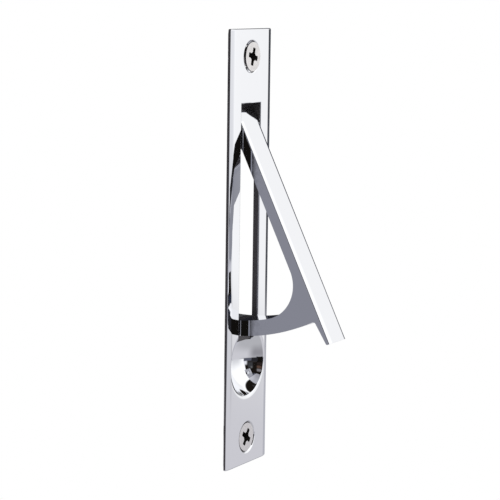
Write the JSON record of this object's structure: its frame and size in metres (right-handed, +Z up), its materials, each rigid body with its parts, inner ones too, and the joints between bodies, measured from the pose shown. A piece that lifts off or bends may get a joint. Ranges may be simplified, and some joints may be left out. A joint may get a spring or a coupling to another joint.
{
  "type": "pocket door edge pull",
  "caption": "Narrow rectangular faceplate with a slot, a round thumb scoop and a lever that swings out of the slot as a finger pull for a sliding door.",
  "frame": {"origin": "middle of the faceplate's back face, the plane that seats on the floor of the mortise", "axes": "+X across the plate, +Y into the door, +Z up along the plate, from the thumb scoop to the pivot"},
  "size_m": [0.019, 0.0425, 0.1016],
  "materials": {
    "plate_chrome": "bright polished chrome plating on a casting",
    "lever_chrome": "bright polished chrome plating on a casting",
    "pin_steel": "bare drawn steel",
    "screw_plating": "satin plated steel"
  },
  "bodies": {
    "plate": {"faceplate": "plate_chrome", "pivot_pin": "pin_steel", "upper_screw": "screw_plating", "lower_screw": "screw_plating"},
    "lever": {"lever": "lever_chrome"}
  },
  "joints": [
    {"name": "lever_hinge", "type": "hinge", "parent": "plate", "child": "lever", "pos_m": [0, 0.0011, 0.0286], "axis": [1, 0, 0], "range_deg": [0, 25.7]}
  ]
}
